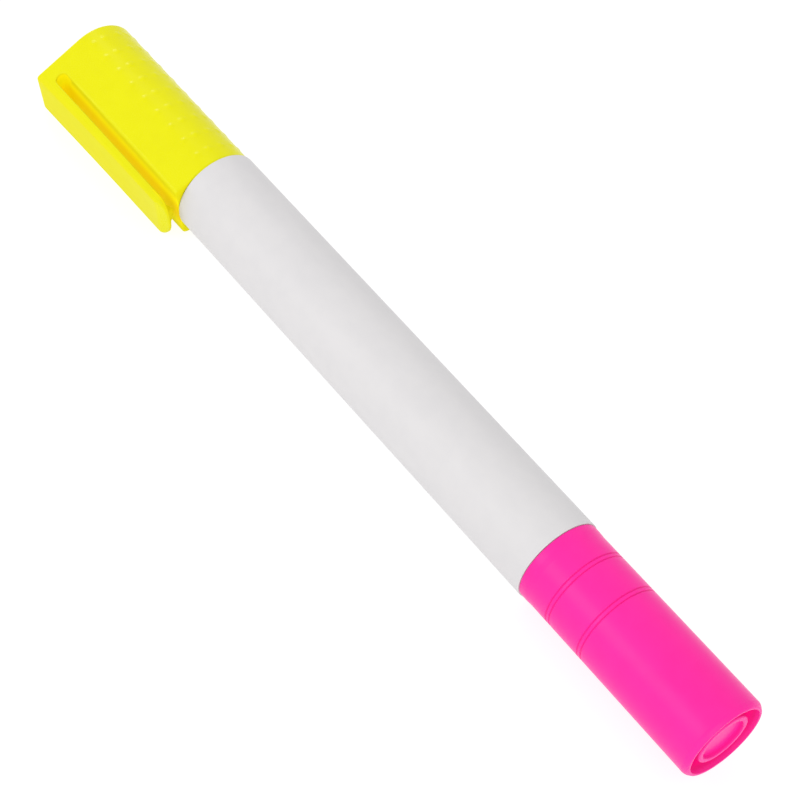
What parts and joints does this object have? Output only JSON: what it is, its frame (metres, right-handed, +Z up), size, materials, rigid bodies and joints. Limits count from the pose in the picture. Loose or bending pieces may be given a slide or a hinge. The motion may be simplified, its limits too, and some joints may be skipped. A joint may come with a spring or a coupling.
{
  "type": "dual tip highlighter",
  "caption": "Double-ended highlighter: white barrel, a chisel tip at each end under a push-on cap, one yellow with a moulded pocket clip and grip bumps, one pink.",
  "frame": {"origin": "under the middle of the pen, on the surface that it lies on: the centre of the bottom of its box", "axes": "+X along the pen towards the pink end, +Z up from the surface, the clip on the -Y side"},
  "size_m": [0.14, 0.0166, 0.0131],
  "materials": {
    "white_plastic": "satin white moulding",
    "natural_plastic": "natural moulding",
    "yellow_plastic": "satin bright yellow moulding",
    "pink_plastic": "satin bright pink moulding",
    "yellow_fibre": "ink-soaked bonded fibre",
    "pink_fibre": "ink-soaked bonded fibre",
    "clear_film": "thin film sleeve",
    "yellow_felt": "firm felt, inked",
    "pink_felt": "firm felt, inked"
  },
  "bodies": {
    "pen_body": {"barrel": "white_plastic", "reservoir_divider": "natural_plastic", "yellow_reservoir_core": "yellow_fibre", "yellow_reservoir_film": "clear_film", "yellow_front_section": "white_plastic", "yellow_chisel_tip": "yellow_felt", "pink_reservoir_core": "pink_fibre", "pink_reservoir_film": "clear_film", "pink_front_section": "white_plastic", "pink_chisel_tip": "pink_felt"},
    "yellow_cap": {"yellow_cap_shell": "yellow_plastic", "yellow_cap_inner_seal": "yellow_plastic"},
    "pink_cap": {"pink_cap_shell": "pink_plastic", "pink_cap_inner_seal": "pink_plastic"}
  },
  "joints": [
    {"name": "yellow_cap_pull", "type": "slide", "parent": "pen_body", "child": "yellow_cap", "axis": [-1, 0, 0], "range_m": [0, 0.036]},
    {"name": "pink_cap_pull", "type": "slide", "parent": "pen_body", "child": "pink_cap", "axis": [1, 0, 0], "range_m": [0, 0.036]}
  ]
}
